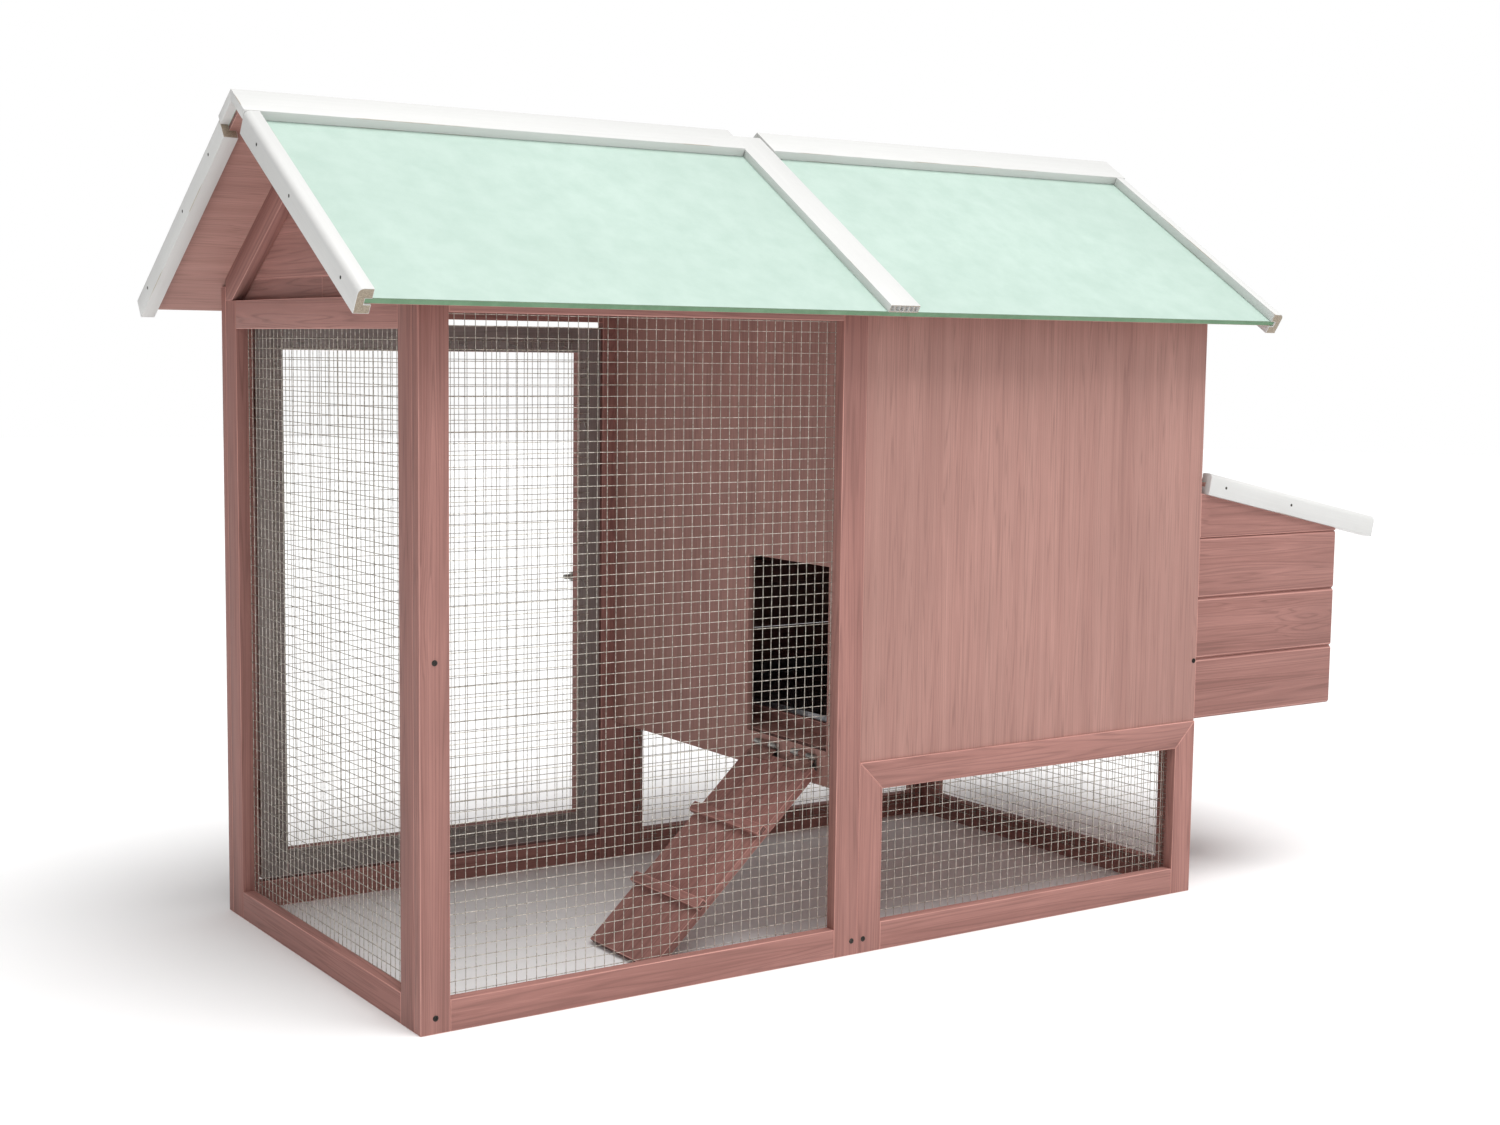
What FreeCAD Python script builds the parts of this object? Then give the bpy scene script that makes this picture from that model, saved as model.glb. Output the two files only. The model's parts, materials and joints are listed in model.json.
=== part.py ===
import FreeCAD, Part

import os
import re

import Sketcher

# Wooden chicken coop: a mesh run on the left, a raised house on the right, a nest box on the
# house's end and a gable roof in two halves.  +X runs along the coop to the nest box, -Y is the
# plain front, +Y the side with the doors, +Z is up.  The origin is on the ground under the middle.
SIZES = [
    # alias, millimetres or degrees
    ("left_face", -724.5),        # x of the run's left end
    ("body_length", 1180),
    ("run_length", 595),
    ("body_depth", 600),
    ("wall_top", 824),            # outer top edge of the long walls, where the roof rests
    ("base_top", 243),            # top of the low frames that carry the house
    ("stick", 36),                # seen width of every frame stick
    ("stick_depth", 16),
    ("ply", 9),
    ("setback", 2),               # house front panel behind the frames' face
    ("roof_slope", 32.8),
    ("left_overhang", 92),
    ("right_overhang", 84),
    ("eave_reach", 56),           # along the slope, past the wall
    ("deck", 6),
    ("sheet", 1),
    ("roof_split", 607),          # from the left face
    ("trim_width", 18),
    ("trim_height", 30),
    ("trim_drop", 11),            # part of the trim below the deck
    ("trim_reach", 58),
    ("trim_round", 7),
    ("groove", 8),
    ("cap_width", 38),
    ("cap", 12),
    ("strip_width", 44),
    ("strip_height", 10),
    ("strip_wall", 1.5),
    ("cap_gap", 1),               # between the cap boards and the strip
    ("trim_gap", 0.5),            # between the trims and the cap boards
    ("gable_base", 806),          # top of the end frame's upper rail
    ("gable_board", 6),
    ("gable_plank", 26),
    ("beam_depth", 36),
    ("partition_face", 579),      # from the left face
    ("partition_foot", 205),
    ("doorway_start", 51),        # from the front face
    ("doorway_width", 180),
    ("doorway_sill", 250),
    ("doorway_head", 484),
    ("ramp_slope", 43),
    ("ramp_start", 62),           # from the front face
    ("ramp_width", 150),
    ("ramp_board", 10),
    ("ramp_axis", 240),           # height of the ramp's hinge
    ("ramp_gap", 13),
    ("cleat_width", 14),
    ("cleat_height", 8),
    ("cleat_pitch", 120),
    ("cleat_overhang", 5),        # past each side of the ramp
    ("nest_length", 280),
    ("nest_foot", 245),
    ("plank_height", 85),
    ("plank", 12),
    ("plank_bevel", 3),
    ("nest_floor_rise", 5),
    ("lid_slope", 11.8),
    ("lid_foot", 562),            # height of the lid trims' foot at the wall
    ("lid_start", 10),
    ("lid_reach", 362.5),
    ("lid_side", 4),              # lid trims outside the nest's planks
    ("lid_clearance", 0.3),       # between the side planks and the lid trims
    ("lid_end_clearance", 1),     # between the end planks and the lid board
    ("nest_opening_low", 262),
    ("nest_opening_high", 482),
    ("nest_opening_half", 255),
    ("perch_height", 520),
    ("perch_width", 36),
    ("perch_depth", 24),
    ("door_gap", 4),
    ("foot_gap", 1.5),            # under the house door and above and below the tray front
    ("door_top_gap", 8),
    ("batten_inset", 20),
    ("batten_rise", 70),          # from the house door's foot and top to its battens
    ("tray_slot_top", 289),
    ("tray_sheet", 1),
    ("tray_height", 24),
    ("tray_lift", 1),
    ("tray_gap", 8),
    ("runner_lap", 1),            # runners under the stiles' edges
    ("knob_radius", 13),
    ("knob_height", 10),
    ("knob_neck", 6),
    ("knob_stand", 16),
    ("knob_overlap", 4),
    ("mesh_pitch", 12.7),
    ("wire", 0.9),
    ("mesh_lap", 18),             # mesh held behind the sticks
    ("mesh_gap", 2),              # between the run's front mesh and the partition
    ("hinge_height", 50),
    ("hinge_leaf", 22),
    ("hinge_plate", 1.5),
    ("knuckle_radius", 3.5),
    ("pin_radius", 1.75),
    ("pin_clearance", 0.05),
    ("pin_head", 2.8),
    ("pin_head_height", 1),
    ("hinge_play", 0.4),
    ("bore_reach", 5),            # how far a drilled hole runs past what it goes through
    ("door_hinge_inset", 110),
    ("lid_hinge_place", 180),     # from the lid's middle
    ("ramp_hinge_place", 42),     # from the ramp's middle
    ("bolt_plate", 34),
    ("bolt_plate_height", 28),
    ("bolt_radius", 3.5),
    ("bolt_play", 0.05),
    ("bolt_lift", 1),             # rod above its plate
    ("bolt_cover", 2),            # metal of a guide outside the rod
    ("bolt_inset", 1),
    ("bolt_guide", 7),
    ("bolt_guide_height", 12),
    ("bolt_tail", 12),            # rod longer than its plate, so both guides always hold it
    ("bolt_knob_radius", 3),
    ("bolt_knob_height", 12),
    ("bolt_knob_shift", 7.5),     # puts the knob near the rear guide while the bolt is drawn
    ("keeper_gap", 6),
    ("keeper_length", 8),
    ("keeper_plate", 20),
    ("keeper_play", 0.4),
    ("run_bolt_height", 420),
    ("house_bolt_height", 558),
    ("screw_radius", 3.4),
    ("screw_height", 1.2),
    ("panel_screw_height", 328),
]
FUNCTIONS = ("sin", "cos", "tan")

doc = FreeCAD.newDocument("ChickenCoop")
table = doc.addObject("Spreadsheet::Sheet", "Sizes")
for row, (alias, size) in enumerate(SIZES, 1):
    table.set("A%d" % row, alias)
    table.set("B%d" % row, str(size))
    table.setAlias("B%d" % row, alias)
doc.recompute()
nodes = []


def formula(text):
    """An expression of the sheet's aliases, with the sheet's name put before each."""
    def named(word):
        return word[0] if word[0] in FUNCTIONS else "Sizes." + word[0]
    return re.sub(r"[a-z_]{3,}", named, str(text))


def value(text):
    """The number that an expression of the sheet's aliases gives."""
    return float(table.evalExpression(formula(text)))


def place(piece, corner):
    for axis, text in zip("xyz", corner):
        piece.setExpression("Placement.Base." + axis, formula(text))


def box(size, corner):
    """A Part box with its lowest corner at corner; both are three expressions."""
    piece = doc.addObject("Part::Box", "Stick")
    for side, text in zip(("Length", "Width", "Height"), size):
        piece.setExpression(side, formula(text))
    place(piece, corner)
    return piece


def cylinder(radius, height, placement):
    piece = doc.addObject("Part::Cylinder", "Round")
    piece.setExpression("Radius", formula(radius))
    piece.setExpression("Height", formula(height))
    piece.Placement = placement
    return piece


def compound(pieces):
    group = doc.addObject("Part::Compound", "Group")
    group.Links = list(pieces)
    return group


def fuse(pieces):
    union = doc.addObject("Part::MultiFuse", "Union")
    union.Shapes = list(pieces)
    return union


def cut(base, tool):
    result = doc.addObject("Part::Cut", "Cut")
    result.Base = base
    result.Tool = tool
    return result


def mirrored(piece):
    """The same piece on the other side of the coop's long middle plane."""
    twin = doc.addObject("Part::Mirroring", "Twin")
    twin.Source = piece
    twin.Base = (0, 0, 0)
    twin.Normal = (0, 1, 0)
    return twin


def node(label, *pieces):
    """Names a sub-part; several solids become one group."""
    made = pieces[0] if len(pieces) == 1 else compound(pieces)
    made.Label = label
    nodes.append(made)
    return made


def draw_loop(sketch, points):
    """A closed outline whose corners are held by expressions, measured from the origin."""
    first = sketch.GeometryCount
    places = [FreeCAD.Vector(value(across), value(up), 0) for across, up in points]
    for start, end in zip(places, places[1:] + places[:1]):
        sketch.addGeometry(Part.LineSegment(start, end), False)
    for step, (across, up) in enumerate(points):
        line = first + step
        after = first + (step + 1) % len(points)
        sketch.addConstraint(Sketcher.Constraint("Coincident", line, 2, after, 1))
        for kind, text in (("DistanceX", across), ("DistanceY", up)):
            held = sketch.addConstraint(Sketcher.Constraint(kind, -1, 1, line, 1, value(text)))
            sketch.setExpression("Constraints[%d]" % held, formula(text))


def pad(plane, outline, thickness, holes=()):
    """A body padded from a sketch on one of its own planes, towards the positive axis."""
    body = doc.addObject("PartDesign::Body", "Board")
    sketch = body.newObject("Sketcher::SketchObject", "Outline")
    plane_feature = [item for item in body.Origin.OriginFeatures if item.Role == plane + "_Plane"][0]
    sketch.AttachmentSupport = (plane_feature, [""])
    sketch.MapMode = "FlatFace"
    for loop in (outline, *holes):
        draw_loop(sketch, loop)
    feature = body.newObject("PartDesign::Pad", "Thickness")
    feature.Profile = sketch
    feature.setExpression("Length", formula(thickness))
    feature.Reversed = plane == "XZ"
    body.Tip = feature
    return body


def at_x(body, start):
    body.setExpression("Placement.Base.x", formula(start))
    return body


def at_y(body, start):
    body.setExpression("Placement.Base.y", formula(start))
    return body


def at_z(body, start):
    body.setExpression("Placement.Base.z", formula(start))
    return body


# Shared places, as expressions
FRONT = "0 - body_depth / 2"
INNER_FRONT = "0 - body_depth / 2 + stick_depth"
INNER_BACK = "body_depth / 2 - stick_depth"
RIGHT = "(left_face + body_length)"
SEAM = "(left_face + run_length)"
PARTITION = "(left_face + partition_face)"
RIDGE_UNDERSIDE = "(wall_top + body_depth / 2 * tan(roof_slope))"
SLOPE_LENGTH = "(body_depth / 2 / cos(roof_slope))"


def wall_frame(left, right, foot, top, back=False):
    """Two full-height stiles with two rails between them, in a long wall."""
    face = INNER_BACK if back else FRONT
    stiles = [
        box(("stick", "stick_depth", f"{top} - {foot}"), (x, face, foot))
        for x in (left, f"{right} - stick")
    ]
    rails = [
        box((f"{right} - {left} - 2 * stick", "stick_depth", "stick"), (f"{left} + stick", face, z))
        for z in (foot, f"{top} - stick")
    ]
    return stiles + rails


def end_frame(face, foot, top):
    """The same frame in an end wall, between the long walls' frames."""
    stiles = [
        box(("stick_depth", "stick", f"{top} - {foot}"), (face, y, foot))
        for y in (INNER_FRONT, f"{INNER_BACK} - stick")
    ]
    rails = [
        box(
            ("stick_depth", "body_depth - 2 * stick_depth - 2 * stick", "stick"),
            (face, f"{INNER_FRONT} + stick", z),
        )
        for z in (foot, f"{top} - stick")
    ]
    return stiles + rails


def mitred_frame():
    """The low front frame under the house: its top corners are mitred."""
    left, right = SEAM, RIGHT
    low = "base_top - stick"
    outlines = [
        [(left, 0), (f"{left} + stick", 0), (f"{left} + stick", low), (left, "base_top")],
        [(f"{right} - stick", 0), (right, 0), (right, "base_top"), (f"{right} - stick", low)],
        [(f"{left} + stick", low), (f"{right} - stick", low), (right, "base_top"), (left, "base_top")],
    ]
    sticks = [at_y(pad("XZ", outline, "stick_depth"), FRONT) for outline in outlines]
    sill = box(
        ("body_length - run_length - 2 * stick", "stick_depth", "stick"), (f"{left} + stick", FRONT, 0)
    )
    return sticks + [sill]


def wire_panel(label, corner, width, height, along):
    """Welded mesh: upright wires with level wires lying against them.

    corner is the panel's lowest corner; along is the row axis that the panel's width follows.
    """
    x0, y0, z0 = (value(text) for text in corner)
    wide, tall, pitch, wire = value(width), value(height), value("mesh_pitch"), value("wire")

    def wires(span):
        count = int((span - wire) // pitch)
        start = (span - count * pitch - wire) / 2
        return [start + step * pitch for step in range(count + 1)]

    solids = []
    for offset in wires(wide):
        if along == "x":
            solids.append(Part.makeBox(wire, wire, tall, FreeCAD.Vector(x0 + offset, y0, z0)))
        else:
            solids.append(Part.makeBox(wire, wire, tall, FreeCAD.Vector(x0, y0 + offset, z0)))
    for offset in wires(tall):
        if along == "x":
            solids.append(Part.makeBox(wide, wire, wire, FreeCAD.Vector(x0, y0 + wire, z0 + offset)))
        else:
            solids.append(Part.makeBox(wire, wide, wire, FreeCAD.Vector(x0 + wire, y0, z0 + offset)))
    panel = doc.addObject("Part::Feature", "Mesh")
    panel.Shape = Part.makeCompound(solids)
    return node(label, panel)


# ---- Run: front, left end and back frames -------------------------------------------------
node("front_run_frame", *wall_frame("left_face", SEAM, "0", "wall_top"))
node("back_run_frame", *wall_frame("left_face", SEAM, "0", "wall_top", back=True))
node("left_end_frame", *end_frame("left_face", "0", "gable_base"))

# ---- Low frames under the house -----------------------------------------------------------
front_low = node("front_low_frame", *mitred_frame())
node("back_low_frame", mirrored(front_low))
node("right_low_frame", *end_frame(f"{RIGHT} - stick_depth", "0", "base_top"))

# ---- Welded mesh on the inner side of the frames ------------------------------------------
LAP = "(stick - mesh_lap)"
ONE_LAYER = "2 * wire"
run_mesh_width = f"partition_face - mesh_gap - {LAP}"
run_mesh_height = f"wall_top - 2 * {LAP}"
run_mesh_corner = (f"left_face + {LAP}", INNER_FRONT, LAP)
wire_panel("front_run_mesh", run_mesh_corner, run_mesh_width, run_mesh_height, "x")
wire_panel(
    "left_end_mesh",
    ("left_face + stick_depth", f"{INNER_FRONT} + {LAP}", LAP),
    f"body_depth - 2 * stick_depth - 2 * {LAP}",
    f"gable_base - 2 * {LAP}",
    "y",
)
low_mesh_width = f"body_length - run_length - 2 * {LAP}"
low_mesh_height = f"base_top - 2 * {LAP}"
for label, y in (("front_low_mesh", INNER_FRONT), ("back_low_mesh", f"{INNER_BACK} - {ONE_LAYER}")):
    wire_panel(label, (f"{SEAM} + {LAP}", y, LAP), low_mesh_width, low_mesh_height, "x")
wire_panel(
    "right_low_mesh",
    (f"{RIGHT} - stick_depth - {ONE_LAYER}", f"{INNER_FRONT} + {LAP}", LAP),
    f"body_depth - 2 * stick_depth - 2 * {LAP}",
    low_mesh_height,
    "y",
)


# ---- Gables -------------------------------------------------------------------------------
def under_roof(across, drop="0"):
    """Height of the decks' underside at y = across (negative side), less a vertical drop."""
    return f"wall_top + (body_depth / 2 + ({across})) * tan(roof_slope) - ({drop})"


RAFTER_DROP = "stick / cos(roof_slope)"


def rafter(x, foot):
    """A stick under the front slope, cut level at its foot and plumb at both ends."""
    foot_across = f"(({foot}) - wall_top + {RAFTER_DROP}) / tan(roof_slope) - body_depth / 2"
    outline = [
        (INNER_FRONT, foot),
        (foot_across, foot),
        ("0", under_roof("0", RAFTER_DROP)),
        ("0", under_roof("0")),
        (INNER_FRONT, under_roof(INNER_FRONT)),
    ]
    return at_x(pad("YZ", outline, "stick_depth"), x)


left_rafter = rafter("left_face", "gable_base")
right_rafter = rafter(f"{RIGHT} - ply - stick_depth", "gable_base")
node("gable_rafters", left_rafter, mirrored(left_rafter), right_rafter, mirrored(right_rafter))

plank_top = "(gable_base + gable_plank)"
plank_slope = f"({plank_top} - wall_top + gable_board) / tan(roof_slope) - body_depth / 2"
low_plank = at_x(
    pad("YZ", [
        (INNER_FRONT, "gable_base"),
        ("0", "gable_base"),
        ("0", plank_top),
        (INNER_FRONT, plank_top),
    ], "gable_board"),
    "left_face + stick_depth",
)
upper_board = at_x(
    pad("YZ", [
        (plank_slope, plank_top),
        (f"0 - ({plank_slope})", plank_top),
        ("0", under_roof("0", "gable_board")),
    ], "gable_board"),
    "left_face + stick_depth",
)
node("left_gable_planks", low_plank, mirrored(low_plank), upper_board)


# ---- House walls, partition and floor -----------------------------------------------------
def gable_wall(x, front, back, foot, opening):
    """A plywood wall that follows the roof's underside, with one rectangular opening."""
    low_y, high_y, low_z, high_z = opening
    outline = [
        (front, foot),
        (back, foot),
        (back, under_roof(f"0 - ({back})")),
        ("0", under_roof("0")),
        (front, under_roof(front)),
    ]
    hole = [(low_y, low_z), (high_y, low_z), (high_y, high_z), (low_y, high_z)]
    return at_x(pad("YZ", outline, "ply", [hole]), x)


doorway_front = f"{FRONT} + doorway_start"
node("partition_panel", gable_wall(
    PARTITION, INNER_FRONT, INNER_BACK, "partition_foot",
    (doorway_front, f"{doorway_front} + doorway_width", "doorway_sill", "doorway_head"),
))
PANEL_BACK = f"{FRONT} + setback + ply"
node("right_wall_panel", gable_wall(
    f"{RIGHT} - ply", PANEL_BACK, INNER_BACK, "base_top",
    ("0 - nest_opening_half", "nest_opening_half", "nest_opening_low", "nest_opening_high"),
))
node("front_wall_panel", box(
    ("body_length - run_length", "ply", "wall_top - base_top"), (SEAM, f"{FRONT} + setback", "base_top"),
))
FLOOR_TOP = "(base_top + ply)"
BEHIND_PARTITION = f"({PARTITION} + ply)"
batten_height = f"gable_base - stick - {FLOOR_TOP}"
node("front_wall_battens", *[
    box(("stick / 2", "stick / 2", batten_height), (x, PANEL_BACK, FLOOR_TOP))
    for x in (SEAM, f"{RIGHT} - ply - stick / 2")
])
node("partition_rail", box(
    ("stick_depth", "body_depth - 2 * stick_depth", "stick"),
    (BEHIND_PARTITION, INNER_FRONT, "base_top - stick"),
))
# The floor is notched round the run frame's stile.
INSIDE_RIGHT_WALL = f"({RIGHT} - ply)"
node("house_floor", at_z(
    pad("XY", [
        (BEHIND_PARTITION, INNER_FRONT),
        (SEAM, INNER_FRONT),
        (SEAM, PANEL_BACK),
        (INSIDE_RIGHT_WALL, PANEL_BACK),
        (INSIDE_RIGHT_WALL, INNER_BACK),
        (BEHIND_PARTITION, INNER_BACK),
    ], "ply"),
    "base_top",
))
wall_height = "wall_top - base_top"
back_stiles = [
    box(("stick", "stick_depth", wall_height), (x, INNER_BACK, "base_top"))
    for x in (SEAM, f"{RIGHT} - stick")
]
back_rail_length = "body_length - run_length - 2 * stick"
back_rails = [
    box((back_rail_length, "stick_depth", "stick"), (f"{SEAM} + stick", INNER_BACK, z))
    for z in ("tray_slot_top", "wall_top - stick")
]
node("back_wall_frame", *back_stiles, *back_rails)
TRAY_LEFT = f"({SEAM} + stick + tray_gap)"
tray_length = "body_length - run_length - 2 * stick - 2 * tray_gap"
runner_depth = "body_depth - 2 * stick_depth - 2 * stick"
node("tray_runners", *[
    box(("tray_gap", runner_depth, "stick / 2"), (x, f"{INNER_FRONT} + stick", FLOOR_TOP))
    for x in (f"{SEAM} + stick - runner_lap", f"{RIGHT} - stick - tray_gap + runner_lap")
])
node("roost_perch", box(
    ("body_length - partition_face - 2 * ply", "perch_width", "perch_depth"),
    (BEHIND_PARTITION, "0 - perch_width / 2", "perch_height"),
))
node("perch_brackets", *[
    box(
        ("stick_depth", "perch_width", "stick_depth"),
        (x, "0 - perch_width / 2", "perch_height - stick_depth"),
    )
    for x in (BEHIND_PARTITION, f"{RIGHT} - ply - stick_depth")
])
beam_top = under_roof("0 - stick_depth / 2")
node("ridge_beams", *[
    box((length, "stick_depth", "beam_depth"), (x, "0 - stick_depth / 2", f"{beam_top} - beam_depth"))
    for x, length in (
        ("left_face + stick_depth + gable_board", "partition_face - stick_depth - gable_board"),
        (BEHIND_PARTITION, "body_length - partition_face - 2 * ply - stick_depth"),
    )
])


# ---- Roof ---------------------------------------------------------------------------------
def slope_point(along, lift):
    """y and z of a point of the front slope: along it from the wall, and lifted off the deck."""
    return (
        f"{FRONT} + ({along}) * cos(roof_slope) - ({lift}) * sin(roof_slope)",
        f"wall_top + ({along}) * sin(roof_slope) + ({lift}) * cos(roof_slope)",
    )


def ridge_board(x, length, low, lift, thickness):
    """A board of the front slope, from low along the slope up to a mitre at the ridge."""
    top = f"({lift}) + ({thickness})"
    outline = [
        slope_point(low, lift),
        ("0", f"{RIDGE_UNDERSIDE} + ({lift}) / cos(roof_slope)"),
        ("0", f"{RIDGE_UNDERSIDE} + ({top}) / cos(roof_slope)"),
        slope_point(low, top),
    ]
    return at_x(pad("YZ", outline, length), x)


SPLIT = "(left_face + roof_split)"
INSET = "(trim_width - groove)"
EAVE = "0 - eave_reach"
CAP_FOOT = f"{SLOPE_LENGTH} - cap_width"
halves = (
    ("left", f"left_face - left_overhang + {INSET}", f"roof_split + left_overhang - {INSET}"),
    ("right", SPLIT, f"body_length - roof_split + right_overhang - {INSET}"),
)
for side, x, length in halves:
    deck = ridge_board(x, length, EAVE, "0", "deck")
    node(f"{side}_roof_decks", deck, mirrored(deck))
    cover = ridge_board(x, length, EAVE, "deck", "sheet")
    node(f"{side}_roof_sheets", cover, mirrored(cover))
cap_runs = (
    ("left_face - left_overhang", "roof_split + left_overhang - strip_width / 2 - cap_gap"),
    (
        f"{SPLIT} + strip_width / 2 + cap_gap",
        "body_length - roof_split + right_overhang - strip_width / 2 - cap_gap",
    ),
)
cap_boards = [ridge_board(x, length, CAP_FOOT, "deck + sheet", "cap") for x, length in cap_runs]
node("ridge_caps", *cap_boards, *[mirrored(board) for board in cap_boards])


def tilt(piece, angle):
    """Turns a piece about the row's X axis by an angle of the sheet."""
    piece.Placement = FreeCAD.Placement(FreeCAD.Vector(), FreeCAD.Rotation(FreeCAD.Vector(1, 0, 0), 1))
    piece.setExpression("Placement.Rotation.Angle", formula(angle))
    return piece


def slope_box(x, length, along, run, lift, height):
    """A box lying on the front slope."""
    piece = tilt(doc.addObject("Part::Box", "Sloped"), "roof_slope")
    for side, text in (("Length", length), ("Width", run), ("Height", height)):
        piece.setExpression(side, formula(text))
    place(piece, (x, *slope_point(along, lift)))
    return piece


def cover_strip():
    """The hollow strip over the joint of the roof's halves, open at its lower end."""
    cells = 6
    run = f"({SLOPE_LENGTH} + trim_reach)"
    start = "0 - trim_reach"
    lift = "deck + sheet"
    outer = slope_box(f"{SPLIT} - strip_width / 2", "strip_width", start, run, lift, "strip_height")
    pitch = f"((strip_width - strip_wall) / {cells})"
    hollows = [
        slope_box(
            f"{SPLIT} - strip_width / 2 + strip_wall + {cell} * {pitch}", f"{pitch} - strip_wall",
            start, run, f"{lift} + strip_wall", "strip_height - 2 * strip_wall",
        )
        for cell in range(cells)
    ]
    return cut(outer, compound(hollows))


strip = cover_strip()
node("centre_strips", strip, mirrored(strip))


def trim_section(side):
    """A grooved trim's section: outer face at 0, groove on the side that side (+1 or -1) gives."""
    def across(text):
        return text if side > 0 else f"0 - ({text})"
    groove_top = "deck + sheet"
    return [
        ("0", "0 - trim_drop"),
        (across("trim_width"), "0 - trim_drop"),
        (across("trim_width"), "0"),
        (across("trim_width - groove"), "0"),
        (across("trim_width - groove"), groove_top),
        (across("trim_width"), groove_top),
        (across("trim_width"), "trim_height - trim_drop"),
        ("0", "trim_height - trim_drop"),
    ]


def rounded(body):
    """Rounds a trim's outer upper edge."""
    doc.recompute()
    top = value("trim_height - trim_drop")
    base = body.Tip
    shape = base.Shape
    edges = [
        number for number, edge in enumerate(shape.Edges, 1)
        if all(abs(end.X) < 0.01 and abs(end.Z - top) < 0.01 for end in edge.Vertexes)
    ]
    fillet = body.newObject("PartDesign::Fillet", "Rounding")
    fillet.Base = (base, ["Edge%d" % number for number in edges])
    fillet.setExpression("Radius", formula("trim_round"))
    body.Tip = fillet
    return body


def gable_trim(x, side):
    """A trim up the front slope's end, from below the eave to the ridge cap."""
    run = f"{CAP_FOOT} + trim_reach - trim_gap"
    trim = tilt(rounded(pad("XZ", trim_section(side), run)), "roof_slope")
    place(trim, (x, *slope_point("0 - trim_reach", "0")))
    return trim


gable_trims = [
    gable_trim("left_face - left_overhang", 1),
    gable_trim(f"{RIGHT} + right_overhang", -1),
]
node("gable_trims", *gable_trims, *[mirrored(trim) for trim in gable_trims])


# ---- Nest box -----------------------------------------------------------------------------
def bevelled_plank(foot, height, across, thickness, outer):
    """Section of a plank with its outer long edges bevelled; outer is its outer face's side."""
    face, back = across, f"{across} + {thickness}"
    if outer > 0:
        face, back = back, face
    inset = f"{face} + plank_bevel" if outer < 0 else f"{face} - plank_bevel"
    return [
        (back, foot),
        (inset, foot),
        (face, f"{foot} + plank_bevel"),
        (face, f"{foot} + {height} - plank_bevel"),
        (inset, f"{foot} + {height}"),
        (back, f"{foot} + {height}"),
    ]


NEST_FRONT = f"{FRONT} + setback"
NEST_END = f"({RIGHT} + nest_length)"
ROWS = 3
row_feet = [f"(nest_foot + {row} * plank_height)" for row in range(ROWS)]
side_planks = [
    at_x(pad("YZ", bevelled_plank(foot, "plank_height", NEST_FRONT, "plank", -1), "nest_length"), RIGHT)
    for foot in row_feet
]
top_foot = f"(nest_foot + {ROWS} * plank_height)"
top_plank = at_y(pad("XZ", [
    (RIGHT, top_foot),
    (NEST_END, top_foot),
    (NEST_END, "lid_foot - lid_clearance - nest_length * tan(lid_slope)"),
    (RIGHT, "lid_foot - lid_clearance"),
], "plank"), NEST_FRONT)
side_group = compound(side_planks + [top_plank])
node("nest_front_planks", side_group)
node("nest_back_planks", mirrored(side_group))
END_PLANK_LENGTH = "body_depth - 2 * setback - 2 * plank"
INSIDE_NEST = f"{NEST_FRONT} + plank"
end_face = f"{NEST_END} - plank"
end_planks = [
    at_y(pad("XZ", bevelled_plank(foot, "plank_height", end_face, "plank", 1), END_PLANK_LENGTH), INSIDE_NEST)
    for foot in row_feet
]
end_top = "lid_foot + trim_drop / cos(lid_slope) - nest_length * tan(lid_slope) - lid_end_clearance"
LID_HALF = "(body_depth / 2 - setback + lid_side)"
between_trims = f"({LID_HALF} - trim_width - lid_clearance)"
trims_foot = "lid_foot - lid_clearance - nest_length * tan(lid_slope)"
half_plank = f"(({END_PLANK_LENGTH}) / 2)"
# The top plank is narrower above the lid trims' foot, where it fits between them.
end_planks.append(at_x(
    pad("YZ", [
        (f"0 - {half_plank}", top_foot),
        (half_plank, top_foot),
        (half_plank, trims_foot),
        (between_trims, trims_foot),
        (between_trims, end_top),
        (f"0 - {between_trims}", end_top),
        (f"0 - {between_trims}", trims_foot),
        (f"0 - {half_plank}", trims_foot),
    ], "plank"),
    end_face,
))
node("nest_end_planks", *end_planks)
NEST_FLOOR = "(nest_foot + nest_floor_rise)"
node("nest_floor", box(
    ("nest_length - plank", END_PLANK_LENGTH, "ply"), (RIGHT, INSIDE_NEST, NEST_FLOOR)
))
node("nest_divider", box(
    ("nest_length - plank", "ply", f"{top_foot} - {NEST_FLOOR} - ply"),
    (RIGHT, "0 - ply / 2", f"{NEST_FLOOR} + ply"),
))

# ---- Nest lid: built flat about its own foot, then tilted --------------------------------
lid_rotation = FreeCAD.Rotation(FreeCAD.Vector(0, 1, 0), value("lid_slope"))
lid_origin = FreeCAD.Vector(
    value(f"{RIGHT} + trim_drop * sin(lid_slope)"), 0, value("lid_foot + trim_drop * cos(lid_slope)")
)
lid_placement = FreeCAD.Placement(lid_origin, lid_rotation)


def lid_box(along, run, across, width, lift, height):
    """A box of the lid: along it from the wall, across it, and lifted off its underside."""
    piece = doc.addObject("Part::Box", "LidPiece")
    for side, text in (("Length", run), ("Width", width), ("Height", height)):
        piece.setExpression(side, formula(text))
    corner = FreeCAD.Vector(value(along), value(across), value(lift))
    piece.Placement = lid_placement.multiply(FreeCAD.Placement(corner, FreeCAD.Rotation()))
    return piece


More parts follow.
